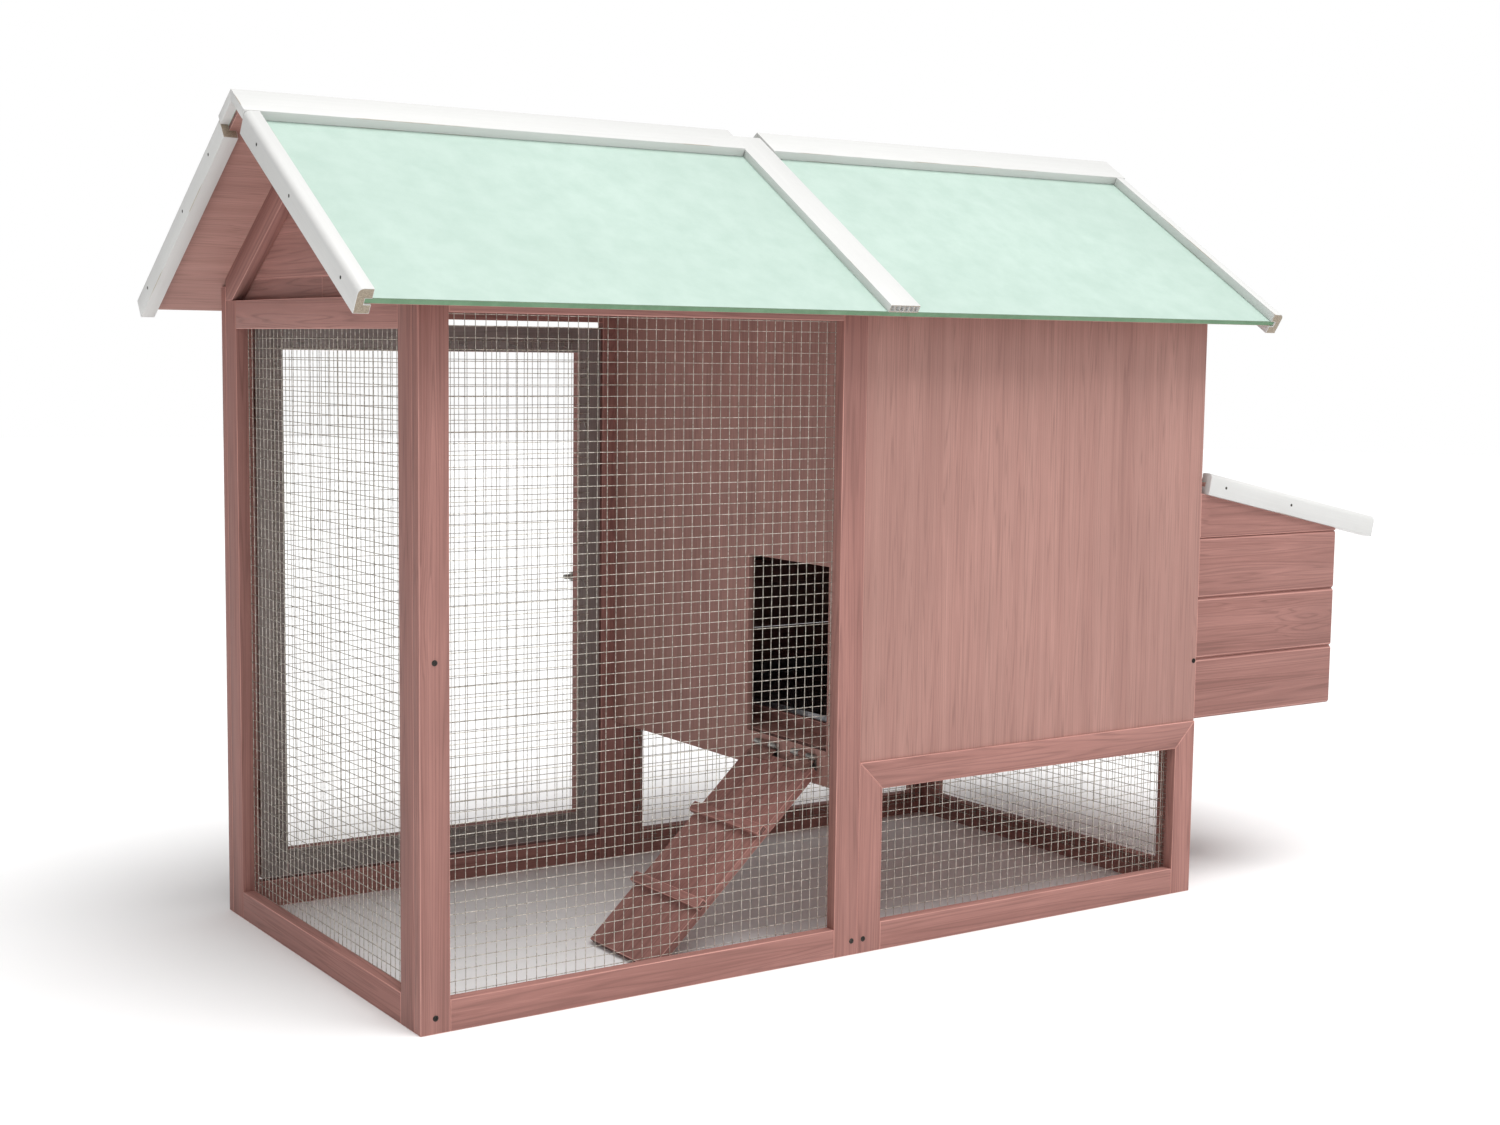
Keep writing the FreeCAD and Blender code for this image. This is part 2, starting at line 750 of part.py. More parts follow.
lid_run = "lid_reach - lid_start"
lid_half_board = f"({LID_HALF} - {INSET})"
for label, lift, height in (("lid_board", "0", "deck"), ("lid_sheet", "deck", "sheet")):
    board = lid_box("lid_start", lid_run, f"0 - {lid_half_board}", f"2 * {lid_half_board}", lift, height)
    node(label, board)
lid_trim = rounded(pad("XZ", trim_section(1), lid_run))
lid_trim.Placement = lid_placement.multiply(FreeCAD.Placement(
    FreeCAD.Vector(value("lid_reach"), value(f"0 - {LID_HALF}"), 0),
    FreeCAD.Rotation(FreeCAD.Vector(0, 0, 1), 90),
))
node("lid_trims", lid_trim, mirrored(lid_trim))

# ---- Ramp ---------------------------------------------------------------------------------
ramp_hinge = FreeCAD.Vector(
    value(f"{PARTITION} - knuckle_radius"),
    value(f"{FRONT} + ramp_start + ramp_width / 2"),
    value("ramp_axis"),
)
# Local X runs down the ramp, local Z stands off its upper face.
ramp_placement = FreeCAD.Placement(
    ramp_hinge, FreeCAD.Rotation(FreeCAD.Vector(0, 0, 1), 180).multiply(
        FreeCAD.Rotation(FreeCAD.Vector(0, 1, 0), value("ramp_slope")))
)


def ramp_box(along, run, width, lift, height):
    piece = doc.addObject("Part::Box", "RampPiece")
    for side, text in (("Length", run), ("Width", width), ("Height", height)):
        piece.setExpression(side, formula(text))
    corner = FreeCAD.Vector(value(along), -value(width) / 2, value(lift))
    piece.Placement = ramp_placement.multiply(FreeCAD.Placement(corner, FreeCAD.Rotation()))
    return piece


RAMP_UNDER = "(knuckle_radius + ramp_board)"
ramp_end = f"(ramp_axis - {RAMP_UNDER} * cos(ramp_slope)) / sin(ramp_slope)"
node("ramp_board", ramp_box(
    "ramp_gap", f"{ramp_end} - ramp_gap", "ramp_width", f"0 - {RAMP_UNDER}", "ramp_board"
))
CLEATS = 2
node("ramp_cleats", *[
    ramp_box(
        f"{turn} * cleat_pitch - cleat_width / 2", "cleat_width", "ramp_width + 2 * cleat_overhang",
        "0 - knuckle_radius", "cleat_height",
    )
    for turn in range(1, CLEATS + 1)
])


# ---- Hinges -------------------------------------------------------------------------------
def leaf(moving, placement):
    """One leaf about a hinge axis on local Z, its plate towards local -X and mounted at local -Y."""
    radius, height, play = "knuckle_radius", "hinge_height", "hinge_play"
    third = f"({height} / 3)"
    spans = [(f"0 - {third} / 2 + {play} / 2", f"{third} - {play}")]
    if not moving:
        spans = [
            (f"0 - {height} / 2", f"{third} - {play} / 2"),
            (f"{third} / 2 + {play} / 2", f"{third} - {play} / 2"),
        ]
    clear = f"({radius} + {play})"
    solids = [box(
        (f"hinge_leaf - knuckle_radius - {play}", "hinge_plate", height),
        ("0 - hinge_leaf", f"0 - {radius}", f"0 - {height} / 2"),
    )]
    for low, span in spans:
        solids.append(box((clear, "hinge_plate", span), (f"0 - {clear}", f"0 - {radius}", low)))
        start = FreeCAD.Placement(FreeCAD.Vector(0, 0, value(low)), FreeCAD.Rotation())
        solids.append(cylinder(radius, span, start))
    bore = cylinder(
        "pin_radius + pin_clearance" if moving else "pin_radius", f"{height} + 2 * bore_reach",
        FreeCAD.Placement(FreeCAD.Vector(0, 0, value(f"0 - {height} / 2 - bore_reach")), FreeCAD.Rotation()),
    )
    made = cut(fuse(solids), bore)
    made.Placement = placement
    return made


def pin(placement):
    """A hinge pin with a small head at each end."""
    def length_from(z):
        return FreeCAD.Placement(FreeCAD.Vector(0, 0, z), FreeCAD.Rotation())
    start = value("0 - hinge_height / 2")
    shank = cylinder("pin_radius", "hinge_height", length_from(start))
    heads = [
        cylinder("pin_head", "pin_head_height", length_from(z))
        for z in (start - value("pin_head_height"), -start)
    ]
    made = fuse([shank] + heads)
    made.Placement = placement
    return made


def hinge_frame(centre, plate_direction, mount_normal):
    """Placement of a leaf from where its axis is, which way its plate runs and what it lies on."""
    across = -plate_direction
    return FreeCAD.Placement(
        centre, FreeCAD.Rotation(across, mount_normal, across.cross(mount_normal), "XYZ")
    )


east, north, up = FreeCAD.Vector(1, 0, 0), FreeCAD.Vector(0, 1, 0), FreeCAD.Vector(0, 0, 1)
fixed_leaves = []
pins = []
back_axis = value("body_depth / 2 + knuckle_radius")
door_low, door_high = value("stick + door_gap"), value("wall_top - stick - door_top_gap")
house_low = value("tray_slot_top + stick + foot_gap")
run_hinge_x = value("left_face + stick + door_gap / 2")
house_hinge_x = value(f"{RIGHT} - stick - door_gap / 2")
lid_out = lid_rotation.multVec(east)
lid_up = lid_rotation.multVec(up)
lid_hinge = lid_origin + lid_up * value("deck + sheet + knuckle_radius")
lid_hinge = lid_hinge + lid_out * ((value(f"{RIGHT} + knuckle_radius") - lid_hinge.x) / lid_out.x)
ramp_down = ramp_placement.Rotation.multVec(east)
ramp_up = ramp_placement.Rotation.multVec(up)
inset = value("door_hinge_inset")
lid_y = value("lid_hinge_place")
ramp_y = value("ramp_hinge_place")
# Each set: the hinges' centres, then the way the fixed plate runs and the normal of what it lies
# on, then the same two for the moving plate.
hinge_sets = {
    "run_door": (
        [FreeCAD.Vector(run_hinge_x, back_axis, z) for z in (door_low + inset, door_high - inset)],
        -east, north, east, north,
    ),
    "house_door": (
        [FreeCAD.Vector(house_hinge_x, back_axis, z) for z in (house_low + inset, door_high - inset)],
        east, north, -east, north,
    ),
    "lid": ([lid_hinge + north * y for y in (-lid_y, lid_y)], up, east, lid_out, lid_up),
    "ramp": ([ramp_hinge + north * y for y in (-ramp_y, ramp_y)], -up, -east, ramp_down, ramp_up),
}
for name, (centres, fixed_plate, fixed_normal, moving_plate, moving_normal) in hinge_sets.items():
    moving_leaves = []
    for centre in centres:
        fixed_leaves.append(leaf(False, hinge_frame(centre, fixed_plate, fixed_normal)))
        pins.append(pin(hinge_frame(centre, fixed_plate, fixed_normal)))
        moving_leaves.append(leaf(True, hinge_frame(centre, moving_plate, moving_normal)))
    node(f"{name}_hinge_leaves", *moving_leaves)
node("fixed_hinge_leaves", *fixed_leaves)
node("hinge_pins", *pins)

# ---- Run door -----------------------------------------------------------------------------
RUN_DOOR_LEFT = "(left_face + stick + door_gap)"
RUN_DOOR_RIGHT = f"({SEAM} - stick - door_gap)"
DOOR_FOOT = "(stick + door_gap)"
DOOR_TOP = "(wall_top - stick - door_top_gap)"
node("run_door_frame", *wall_frame(RUN_DOOR_LEFT, RUN_DOOR_RIGHT, DOOR_FOOT, DOOR_TOP, back=True))
wire_panel(
    "run_door_mesh",
    (f"{RUN_DOOR_LEFT} + {LAP}", f"{INNER_BACK} - {ONE_LAYER}", f"{DOOR_FOOT} + {LAP}"),
    f"{RUN_DOOR_RIGHT} - {RUN_DOOR_LEFT} - 2 * {LAP}",
    f"{DOOR_TOP} - {DOOR_FOOT} - 2 * {LAP}",
    "x",
)

# ---- House door ---------------------------------------------------------------------------
HOUSE_DOOR_LEFT = f"({SEAM} + stick + door_gap)"
HOUSE_DOOR_RIGHT = f"({RIGHT} - stick - door_gap)"
HOUSE_DOOR_FOOT = "(tray_slot_top + stick + foot_gap)"
node("house_door_panel", box(
    (f"{HOUSE_DOOR_RIGHT} - {HOUSE_DOOR_LEFT}", "ply", f"{DOOR_TOP} - {HOUSE_DOOR_FOOT}"),
    (HOUSE_DOOR_LEFT, "body_depth / 2 - ply", HOUSE_DOOR_FOOT),
))
node("house_door_battens", *[
    box(
        (f"{HOUSE_DOOR_RIGHT} - {HOUSE_DOOR_LEFT} - 2 * batten_inset", "stick_depth", "stick"),
        (f"{HOUSE_DOOR_LEFT} + batten_inset", "body_depth / 2 - ply - stick_depth", z),
    )
    for z in (f"{HOUSE_DOOR_FOOT} + batten_rise", f"{DOOR_TOP} - batten_rise - stick")
])


# ---- Barrel bolts -------------------------------------------------------------------------
BOLT_FACE = "body_depth / 2"
BOLT_AXIS = f"({BOLT_FACE} + hinge_plate + bolt_radius + bolt_lift)"
GUIDE_DEPTH = "hinge_plate + 2 * bolt_radius + bolt_lift + bolt_cover"


def barrel_bolt(name, edge, height, side):
    """A bolt on a door's edge: plate with two guides, rod with a knob; returns the keeper's solids.

    edge is the door's x edge; side is +1 where the rod shoots towards +X and -1 towards -X.
    start is how far behind that edge a piece begins, and length is its size along X.
    """
    lay = FreeCAD.Rotation(FreeCAD.Vector(0, 1, 0), 90 * side)

    def block(start, length, depth, tall):
        first = f"{edge} - ({start}) - ({length})" if side > 0 else f"{edge} + ({start})"
        return box((length, depth, tall), (first, BOLT_FACE, f"{height} - {tall} / 2"))

    def rod(start, length, size):
        first = value(edge) - side * value(f"({start}) + ({length})")
        centre = FreeCAD.Vector(first, value(BOLT_AXIS), value(height))
        return cylinder(size, length, FreeCAD.Placement(centre, lay))

    plate = fuse([
        block("bolt_inset", "bolt_plate", "hinge_plate", "bolt_plate_height"),
        block("bolt_inset", "bolt_guide", GUIDE_DEPTH, "bolt_guide_height"),
        block("bolt_inset + bolt_plate - bolt_guide", "bolt_guide", GUIDE_DEPTH, "bolt_guide_height"),
    ])
    drilled = rod("0 - bore_reach", "bolt_plate + 4 * bore_reach", "bolt_radius + bolt_play")
    node(f"{name}_bolt_plate", cut(plate, drilled))
    knob_x = value(edge) - side * value("bolt_plate / 2 + bolt_knob_shift")
    knob = cylinder("bolt_knob_radius", "bolt_knob_height", FreeCAD.Placement(
        FreeCAD.Vector(knob_x, value(BOLT_AXIS), value(height)),
        FreeCAD.Rotation(FreeCAD.Vector(1, 0, 0), -90),
    ))
    node(f"{name}_bolt", fuse([rod("0", "bolt_plate + bolt_tail", "bolt_radius"), knob]))
    # The keeper is a strap hoop on a plate: two posts and a bridge round the rod.
    hole = "(bolt_radius + keeper_play)"
    post = f"(bolt_guide_height / 2 - {hole})"
    hoop_start = "0 - keeper_gap - keeper_length"
    hoop_x = f"{edge} - ({hoop_start}) - keeper_length" if side > 0 else f"{edge} + ({hoop_start})"
    plate_face = f"{BOLT_FACE} + hinge_plate"
    bridge_face = f"{BOLT_AXIS} + {hole}"
    hoop_depth = f"({GUIDE_DEPTH}) - hinge_plate"
    posts = [
        box(("keeper_length", hoop_depth, post), (hoop_x, plate_face, z))
        for z in (f"{height} - bolt_guide_height / 2", f"{height} + {hole}")
    ]
    bridge = box(
        ("keeper_length", f"{BOLT_FACE} + {GUIDE_DEPTH} - ({bridge_face})", f"2 * {hole}"),
        (hoop_x, bridge_face, f"{height} - {hole}"),
    )
    foot = block("0 - door_gap - keeper_plate", "keeper_plate", "hinge_plate", "bolt_plate_height")
    return [foot, *posts, bridge]


run_keeper = barrel_bolt("run_door", RUN_DOOR_RIGHT, "run_bolt_height", 1)
house_keeper = barrel_bolt("house_door", HOUSE_DOOR_LEFT, "house_bolt_height", -1)
node("bolt_keepers", *run_keeper, *house_keeper)

# ---- Droppings tray -----------------------------------------------------------------------
TRAY_FOOT = f"({FLOOR_TOP} + tray_lift)"
tray_depth = "body_depth - 2 * stick_depth - tray_gap"
tray_outer = box(
    (tray_length, tray_depth, "tray_height"),
    (TRAY_LEFT, f"{INNER_FRONT} + tray_gap", TRAY_FOOT),
)
tray_inner = box(
    (f"{tray_length} - 2 * tray_sheet", f"{tray_depth} - 2 * tray_sheet", "tray_height"),
    (f"{TRAY_LEFT} + tray_sheet", f"{INNER_FRONT} + tray_gap + tray_sheet", f"{TRAY_FOOT} + tray_sheet"),
)
node("tray_pan", cut(tray_outer, tray_inner))
node("tray_front", box(
    (f"{tray_length} + tray_gap", "stick_depth", "tray_slot_top - base_top - 2 * foot_gap"),
    (f"{TRAY_LEFT} - tray_gap / 2", INNER_BACK, "base_top + foot_gap"),
))
tray_middle = FreeCAD.Vector(
    value(f"{TRAY_LEFT} + ({tray_length}) / 2"),
    value("body_depth / 2"),
    value("(base_top + tray_slot_top) / 2"),
)
outward = FreeCAD.Rotation(FreeCAD.Vector(1, 0, 0), -90)
knob_head = tray_middle + north * value("knob_stand - knob_overlap")
knob_parts = [
    cylinder("knob_neck", "knob_stand", FreeCAD.Placement(tray_middle, outward)),
    cylinder("knob_radius", "knob_height", FreeCAD.Placement(knob_head, outward)),
]
node("tray_knob", fuse(knob_parts))

# ---- Screw heads on the plain front -------------------------------------------------------
foot_row, middle_row, top_row = "stick / 2", "wall_top / 2", "wall_top - stick / 2"
panel_face = f"{FRONT} + setback"
screw_places = (
    ("left_face + stick / 2", FRONT, foot_row),
    ("left_face + stick / 2", FRONT, middle_row),
    ("left_face + stick / 2", FRONT, top_row),
    (f"{SEAM} - stick / 4", FRONT, foot_row),
    (f"{SEAM} - stick / 4", FRONT, top_row),
    (f"{SEAM} + stick / 4", FRONT, foot_row),
    (f"{RIGHT} - ply / 2", panel_face, "panel_screw_height"),
)
facing_front = FreeCAD.Rotation(FreeCAD.Vector(1, 0, 0), 90)
node("frame_screws", *[
    cylinder("screw_radius", "screw_height", FreeCAD.Placement(
        FreeCAD.Vector(*[value(text) for text in place_texts]), facing_front
    ))
    for place_texts in screw_places
])

# ---- Check and write ----------------------------------------------------------------------
doc.recompute()
for item in doc.Objects:
    if "Invalid" in item.State or "Error" in item.State:
        raise RuntimeError(f"{item.Name} ({item.Label}) did not recompute: {item.State}")
os.makedirs("parts", exist_ok=True)
for item in nodes:
    shape = item.Shape
    if shape.isNull() or not shape.isValid():
        raise RuntimeError(f"{item.Label} has no valid shape")
    shape.exportStep(os.path.join("parts", item.Label + ".step"))
print(len(nodes), "nodes,", len(doc.Objects), "objects")
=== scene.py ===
import json
import math
import random

import bmesh
import bpy
from mathutils import Matrix, Vector


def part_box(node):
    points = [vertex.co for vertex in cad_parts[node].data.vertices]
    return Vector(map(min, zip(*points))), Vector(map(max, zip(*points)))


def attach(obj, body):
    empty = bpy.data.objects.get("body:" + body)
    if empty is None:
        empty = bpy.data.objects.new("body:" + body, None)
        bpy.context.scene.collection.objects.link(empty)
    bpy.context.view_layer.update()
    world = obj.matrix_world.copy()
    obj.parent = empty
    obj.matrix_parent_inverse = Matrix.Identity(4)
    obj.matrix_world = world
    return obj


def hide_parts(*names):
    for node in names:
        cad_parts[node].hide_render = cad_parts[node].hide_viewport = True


# Wooden chicken coop: CAD pieces are rebuilt with eased edges, grain that follows each stick, round
# wires, screws, nails and staples.  Metres, in the CAD's frame.
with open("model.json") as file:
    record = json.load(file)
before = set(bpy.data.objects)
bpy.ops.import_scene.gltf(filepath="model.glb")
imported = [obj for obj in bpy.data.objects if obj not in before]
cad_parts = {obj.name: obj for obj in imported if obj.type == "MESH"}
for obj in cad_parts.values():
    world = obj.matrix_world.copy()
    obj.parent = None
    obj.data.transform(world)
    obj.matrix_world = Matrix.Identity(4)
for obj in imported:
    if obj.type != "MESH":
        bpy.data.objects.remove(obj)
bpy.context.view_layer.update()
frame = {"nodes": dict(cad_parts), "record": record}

NODES = frame["nodes"]
RECORD = frame["record"]
BODY_OF = {node: body for body, members in RECORD["behaviour"]["bodies"].items() for node in members}
SLOT_OF = {part["node"]: part["material_slot"] for part in RECORD["subparts"]}
MM = 0.001
MICRON = 1e-6
UP = Vector((0, 0, 1))
ALONG_X, ALONG_Y = Vector((1, 0, 0)), Vector((0, 1, 0))
# A direction with more Z than this counts as upright, so it isn't crossed with UP.
UPRIGHT = 0.9
draw = random.Random(7)


def linear(red, green, blue):
    """A colour as shaders want it, from 0 to 255 screen values."""
    channels = [value / 255 for value in (red, green, blue)]
    return tuple(c / 12.92 if c <= 0.04045 else ((c + 0.055) / 1.055) ** 2.4 for c in channels) + (1.0,)


def toned(colour, share, lift=0.0):
    """A screen colour made darker or lighter, as shaders want it."""
    return linear(*[min(255, channel * share + lift) for channel in colour])


def sideways(direction, spare):
    """A unit direction square to the given one: crossed with UP, or with spare where it is upright."""
    return direction.cross(UP if abs(direction.z) < UPRIGHT else spare).normalized()


def box_of(points):
    """The lowest and the highest corner of some points."""
    return [Vector([pick(point[axis] for point in points) for axis in range(3)]) for pick in (min, max)]


# ---- Materials ------------------------------------------------------------------------------
class Shader:
    """A material and short ways to add nodes to it."""

    def __init__(self, name, **fixed):
        self.material = bpy.data.materials.new(name)
        self.material.use_nodes = True
        self.nodes = self.material.node_tree.nodes
        self.links = self.material.node_tree.links
        self.surface = self.nodes["Principled BSDF"]
        for socket, amount in fixed.items():
            self.surface.inputs[socket.replace("_", " ")].default_value = amount

    def put(self, target, source):
        """Links a socket, or sets a plain value."""
        if isinstance(source, bpy.types.NodeSocket):
            self.links.new(source, target)
        else:
            target.default_value = source

    def attribute(self, name, output="Vector"):
        item = self.nodes.new("ShaderNodeAttribute")
        item.attribute_name = name
        return item.outputs[output]

    def stretched(self, vector, scale):
        item = self.nodes.new("ShaderNodeMapping")
        item.inputs["Scale"].default_value = scale
        self.put(item.inputs["Vector"], vector)
        return item.outputs["Vector"]

    def noise(self, vector, scale, detail=4.0, roughness=0.6, distortion=0.0):
        item = self.nodes.new("ShaderNodeTexNoise")
        self.put(item.inputs["Vector"], vector)
        for socket, amount in zip(
            ("Scale", "Detail", "Roughness", "Distortion"), (scale, detail, roughness, distortion)
        ):
            item.inputs[socket].default_value = amount
        return item.outputs["Fac"]

    def cells(self, vector, scale):
        item = self.nodes.new("ShaderNodeTexVoronoi")
        self.put(item.inputs["Vector"], vector)
        item.inputs["Scale"].default_value = scale
        return item.outputs["Distance"], item.outputs["Color"]

    def spread(self, value, low, high, to_low=0.0, to_high=1.0):
        item = self.nodes.new("ShaderNodeMapRange")
        for socket, amount in zip(
            ("Value", "From Min", "From Max", "To Min", "To Max"), (value, low, high, to_low, to_high)
        ):
            self.put(item.inputs[socket], amount)
        return item.outputs["Result"]

    def maths(self, operation, first, second):
        item = self.nodes.new("ShaderNodeMath")
        item.operation = operation
        self.put(item.inputs[0], first)
        self.put(item.inputs[1], second)
        return item.outputs[0]

    def mix(self, factor, first, second):
        item = self.nodes.new("ShaderNodeMix")
        item.data_type = "RGBA"
        self.put(item.inputs[0], factor)
        self.put(item.inputs[6], first)
        self.put(item.inputs[7], second)
        return item.outputs[2]

    def bump(self, height, strength, distance):
        item = self.nodes.new("ShaderNodeBump")
        item.inputs["Strength"].default_value = strength
        item.inputs["Distance"].default_value = distance
        self.put(item.inputs["Height"], height)
        self.put(self.surface.inputs["Normal"], item.outputs["Normal"])

    def finish(self, colour, roughness):
        self.put(self.surface.inputs["Base Color"], colour)
        self.put(self.surface.inputs["Roughness"], roughness)
        return self.material


# How the wood's features are stretched: how many there are in a metre, along and across the grain.
BAND_ALONG = 1.1
FIBRES = (14, 620, 620)
BLOTCHES = (4, 9, 9)
KNOTS = (4.5, 11, 11)
GROWTH = (1, 260, 260)
RINGS = 95.0
# A cell has a random value. Below the first of these it holds no knot, and above the second a whole one.
KNOTTED = (0.7, 0.72)
# How the paint's features are stretched.
BRUSH_MARKS = (5, 420, 420)
PAINT_CLOUDS = (9, 22, 22)
RAW_FIBRES = (1, 700, 700)
# Features in a metre on sheet and on steel.
MOTTLE, CLOUDS, GRIT, HAZE = 26.0, 4.0, 900.0, 60.0
# Each material's bump: its strength, and its depth in metres.
WOOD_BUMP, PAINT_BUMP = (0.4, 0.0004), (0.2, 0.0002)
SHEET_BUMP, METAL_BUMP = (0.25, 0.0003), (0.08, 0.0002)


def wood(name, pale, deep, knots=0.6, bands=34.0, lines=0.55):
    """Stained softwood: growth rings that bend round knots, fibres, blotchy stain, and edges made paler,
    partly as rubbed wear and partly as a painted highlight.
    """
    s = Shader(name)
    grain = s.attribute("grain")
    broad = s.noise(s.stretched(grain, (BAND_ALONG, bands, bands)), 1.0, 2.0, 0.5, 0.4)
    fibres = s.noise(s.stretched(grain, FIBRES), 1.0, 3.0, 0.7)
    blotches = s.noise(s.stretched(grain, BLOTCHES), 1.0, 3.0, 0.55)
    distance, cell = s.cells(s.stretched(grain, KNOTS), 1.0)
    rare = s.spread(cell, *KNOTTED)
    near_knot = s.maths("MULTIPLY", s.spread(distance, 0.0, 0.35, 0.16, 0.0), rare)
    field = s.maths("ADD", broad, near_knot)
    rings = s.maths("SINE", s.maths("MULTIPLY", field, RINGS), 0.0)
    dark_line = s.maths("MULTIPLY", s.spread(rings, 0.35, 1.0, 0.0, lines), s.spread(fibres, 0.3, 0.6))
    pale_line = s.maths("MULTIPLY", s.spread(rings, -0.5, -1.0, 0.0, lines * 0.6), s.spread(fibres, 0.4, 0.7))
    streaks = s.maths("ADD", s.spread(broad, 0.32, 0.68, 0, 0.6), s.spread(fibres, 0.3, 0.7, 0, 0.4))
    colour = s.mix(streaks, linear(*deep), linear(*pale))
    colour = s.mix(dark_line, colour, toned(deep, 0.72))
    colour = s.mix(pale_line, colour, toned(pale, 1.08, 8))
    colour = s.mix(s.spread(blotches, 0.35, 0.7, 0.0, 0.3), colour, toned(deep, 0.84))
    knot = s.maths("MULTIPLY", s.spread(distance, 0.03, 0.09, knots, 0.0), rare)
    colour = s.mix(knot, colour, toned(deep, 0.5))
    # Edges made paler: partly rubbed wear, partly a painted highlight along the eased edges.
    edge_tone = s.maths("MULTIPLY", s.attribute("edge", "Fac"), s.spread(blotches, 0.4, 0.65, 0.3, 0.85))
    colour = s.mix(edge_tone, colour, toned(pale, 1.14, 16))
    growth = s.noise(s.stretched(grain, GROWTH), 1.0, 2.0, 0.5, 1.5)
    end_dark, end_pale = toned(deep, 0.62), toned(deep, 0.9)
    end = s.mix(s.spread(growth, 0.4, 0.6), end_dark, end_pale)
    colour = s.mix(s.attribute("end", "Fac"), colour, end)
    tint = s.nodes.new("ShaderNodeHueSaturation")
    s.put(tint.inputs["Value"], s.spread(s.attribute("tint", "Fac"), 0, 1, 0.9, 1.07))
    s.put(tint.inputs["Color"], colour)
    s.bump(s.maths("SUBTRACT", fibres, s.maths("MULTIPLY", dark_line, 0.8)), *WOOD_BUMP)
    return s.finish(tint.outputs["Color"], s.spread(fibres, 0.3, 0.7, 0.58, 0.8))


def paint(name, colour, bare):
    """White paint brushed along the wood, rubbed through in places on the edges; raw end grain."""
    s = Shader(name)
    grain = s.attribute("grain")
    brush = s.noise(s.stretched(grain, BRUSH_MARKS), 1.0, 3.0, 0.6)
    cloud = s.noise(s.stretched(grain, PAINT_CLOUDS), 1.0, 3.0, 0.6)
    coat = s.mix(s.spread(cloud, 0.35, 0.7, 0, 0.5), linear(*colour), toned(colour, 0.95))
    coat = s.mix(s.spread(brush, 0.3, 0.7, 0.0, 0.25), coat, toned(colour, 0.92))
    worn = s.maths("MULTIPLY", s.attribute("edge", "Fac"), s.spread(cloud, 0.56, 0.64, 0.0, 0.7))
    coat = s.mix(worn, coat, linear(*bare))
    fibres = s.noise(s.stretched(grain, RAW_FIBRES), 1.0, 3.0, 0.6)
    raw = s.mix(s.spread(fibres, 0.35, 0.65), toned(bare, 0.8), linear(*bare))
    coat = s.mix(s.attribute("end", "Fac"), coat, raw)
    s.bump(brush, *PAINT_BUMP)
    return s.finish(coat, s.spread(cloud, 0.3, 0.7, 0.38, 0.55))


def sheet(name, colour, shade):
    """Mottled roofing sheet with a fine granular face."""
    s = Shader(name)
    grain = s.attribute("grain")
    mottle = s.noise(grain, MOTTLE, 5.0, 0.65)
    clouds = s.noise(grain, CLOUDS, 3.0, 0.5)
    grit = s.noise(grain, GRIT, 2.0, 0.6)
    face = s.mix(s.spread(mottle, 0.35, 0.68), linear(*colour), linear(*shade))
    face = s.mix(s.spread(clouds, 0.35, 0.7, 0.0, 0.3), face, toned(shade, 0.95))
    edge_tone = s.maths("MULTIPLY", s.attribute("edge", "Fac"), 0.25)
    face = s.mix(edge_tone, face, toned(shade, 0.85))
    s.bump(grit, *SHEET_BUMP)
    return s.finish(face, s.spread(grit, 0.3, 0.7, 0.6, 0.85))


def metal(name, bright, dull, shine, spangle=90.0, metallic=0.9):
    """Steel with patches of zinc spangle, dull haze and rubbed edges."""
    s = Shader(name, Metallic=metallic)
    place = s.attribute("grain")
    _, patch = s.cells(place, spangle)
    haze = s.noise(place, HAZE, 4.0, 0.6)
    face = s.mix(s.spread(patch, 0.2, 0.8), linear(*bright), linear(*dull))
    face = s.mix(s.spread(haze, 0.5, 0.75, 0.0, 0.5), face, toned(dull, 0.7))
    face = s.mix(s.maths("MULTIPLY", s.attribute("edge", "Fac"), 0.4), face, linear(*bright))
    s.bump(haze, *METAL_BUMP)
    return s.finish(face, s.spread(haze, 0.3, 0.7, shine, shine + 0.22))


MATERIALS = {
    "stained_fir": wood("stained_fir", (178, 129, 120), (145, 99, 91), lines=0.45),
    "stained_ply": wood("stained_ply", (184, 140, 130), (166, 122, 113), knots=0.2, bands=62.0, lines=0.42),
    "white_trim": paint("white_trim", (220, 220, 218), (176, 162, 142)),
    "mint_sheet": sheet("mint_sheet", (188, 208, 198), (178, 200, 189)),
    "wire": metal("wire", (216, 211, 201), (164, 158, 147), 0.35, spangle=400.0),
    "zinc_steel": metal("zinc_steel", (200, 200, 196), (150, 150, 146), 0.32),
    "tray_steel": metal("tray_steel", (198, 202, 206), (160, 165, 170), 0.38, spangle=45.0),
}
EAVE_GREEN = sheet("eave_green", (122, 158, 126), (100, 136, 104))
DARK_STEEL = metal("dark_steel", (86, 82, 78), (46, 43, 41), 0.4)
# The run door's inner face gets a greyer copy of the stain: painted shade, for the shade that face sits in
# behind the mesh.
# The ramp's hinges can't be made out, so they are assumed to be stained over.
PAINTED_SHADE_GREY = wood("painted_shade_grey", (160, 150, 146), (132, 123, 120), knots=0.3, lines=0.3)
STAINED_STEEL = metal("stained_steel", (150, 112, 102), (118, 82, 74), 0.55, metallic=0.0)

# ---- Taking the CAD apart and rebuilding it with eased edges ---------------------------------
# Which way the grain runs where it isn't a piece's longest edge.
GRAIN = {
    "front_wall_panel": UP,
    "right_wall_panel": UP,
    "partition_panel": UP,
    "house_door_panel": UP,
    "nest_end_planks": ALONG_Y,
    "left_gable_planks": ALONG_Y,
    "nest_front_planks": ALONG_X,
    "nest_back_planks": ALONG_X,
}
# Ends that are painted over, where other ends show raw wood.
PAINTED_ENDS = {"lid_trims", "ridge_caps"}
